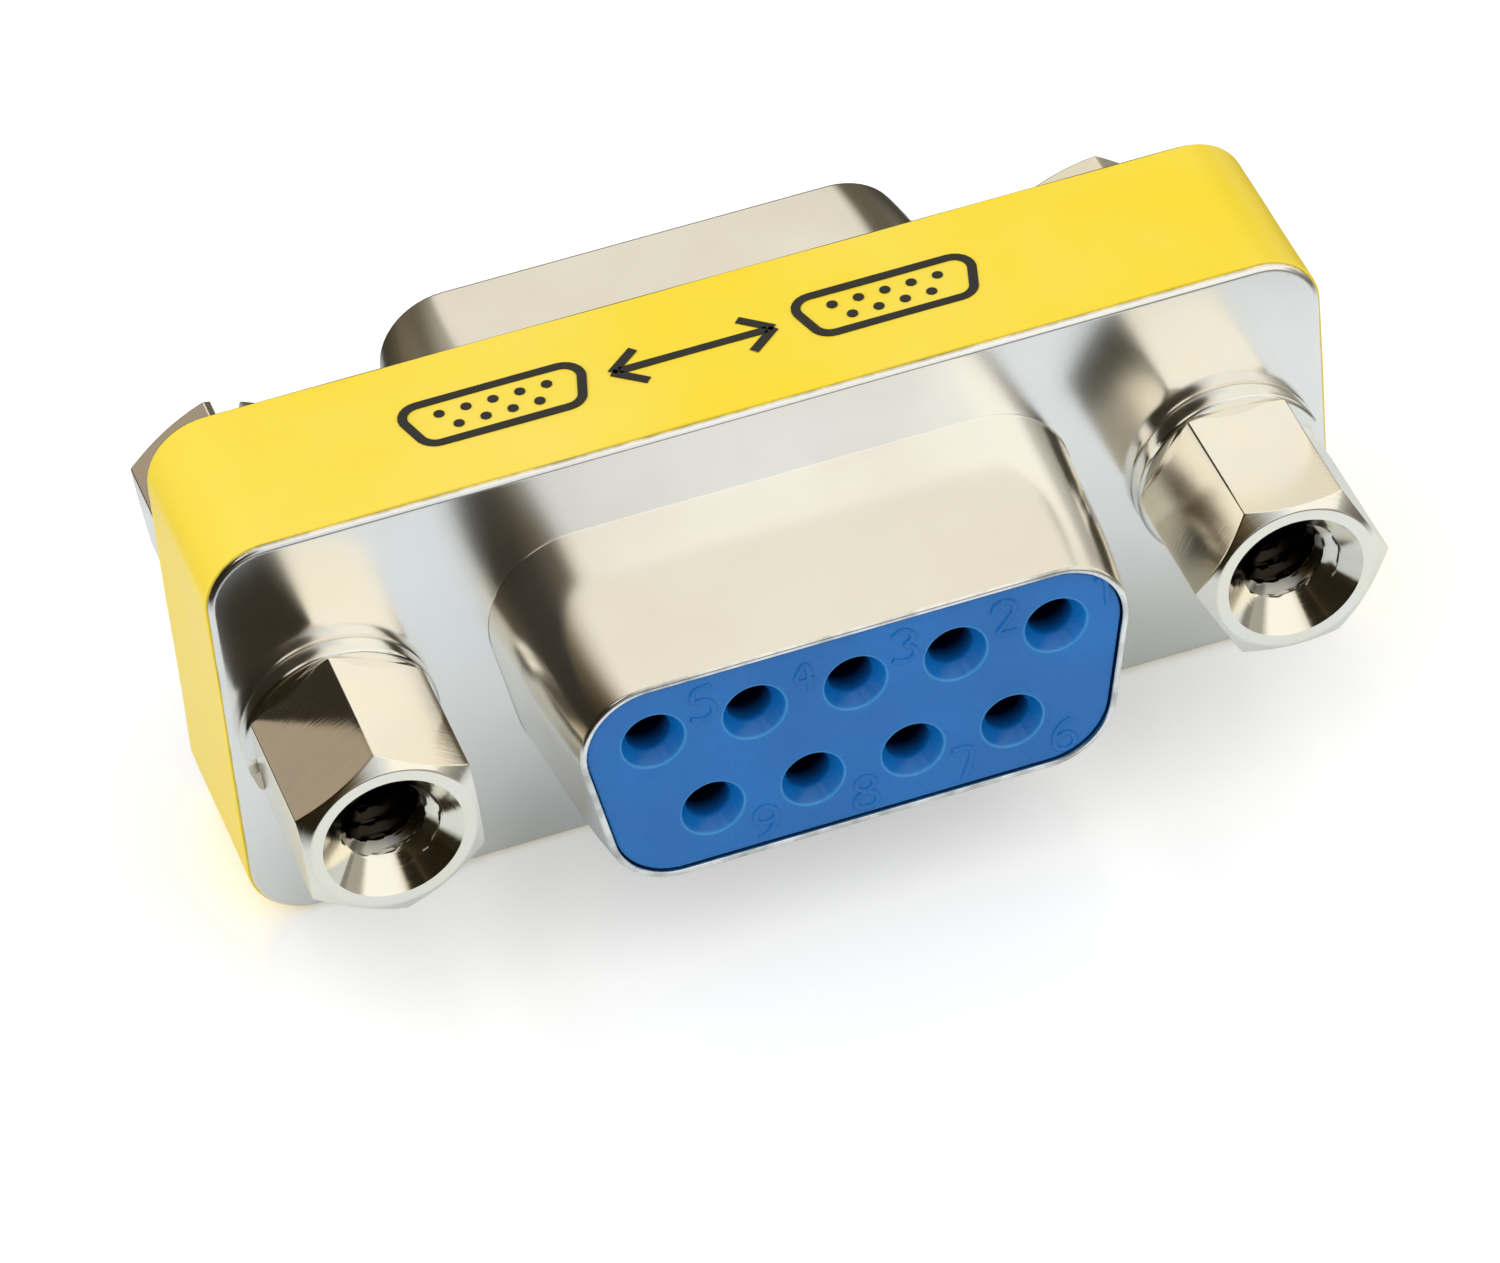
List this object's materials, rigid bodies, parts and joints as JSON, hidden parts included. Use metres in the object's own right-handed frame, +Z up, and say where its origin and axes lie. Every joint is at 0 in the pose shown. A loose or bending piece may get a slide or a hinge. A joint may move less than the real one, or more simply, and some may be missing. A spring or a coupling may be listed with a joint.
{
  "type": "d-sub gender changer",
  "caption": "Short metal-shelled D connector adaptor with socket faces at both ends, hex jack standoffs beside each and a yellow label wrapped round the body.",
  "frame": {"origin": "under the middle of the body, on the long bottom face that it rests on", "axes": "+X right seen from the front, -Y out of the front socket face, +Z up to the wide contact row"},
  "size_m": [0.031, 0.0178, 0.0127],
  "materials": {
    "nickel_shell": "bright nickel plate",
    "nickel_hardware": "bright nickel plate",
    "washer_steel": "nickel-plated spring steel",
    "label_vinyl": "printed vinyl",
    "insulator": "moulded, satin",
    "contact_brass": "gold-flashed",
    "sleeve_brass": "turned",
    "board": "solder mask"
  },
  "bodies": {
    "root": {"front_shell": "nickel_shell", "rear_shell": "nickel_shell", "label_band": "label_vinyl", "front_insulator": "insulator", "rear_insulator": "insulator", "front_contact_1": "contact_brass", "front_contact_2": "contact_brass", "front_contact_3": "contact_brass", "front_contact_4": "contact_brass", "front_contact_5": "contact_brass", "front_contact_6": "contact_brass", "front_contact_7": "contact_brass", "front_contact_8": "contact_brass", "front_contact_9": "contact_brass", "rear_contact_1": "contact_brass", "rear_contact_2": "contact_brass", "rear_contact_3": "contact_brass", "rear_contact_4": "contact_brass", "rear_contact_5": "contact_brass", "rear_contact_6": "contact_brass", "rear_contact_7": "contact_brass", "rear_contact_8": "contact_brass", "rear_contact_9": "contact_brass", "cross_board": "board", "left_sleeve": "sleeve_brass", "right_sleeve": "sleeve_brass", "front_left_standoff": "nickel_hardware", "front_left_washer": "washer_steel", "front_right_standoff": "nickel_hardware", "front_right_washer": "washer_steel", "rear_left_standoff": "nickel_hardware", "rear_left_washer": "washer_steel", "rear_right_standoff": "nickel_hardware", "rear_right_washer": "washer_steel"}
  },
  "joints": []
}
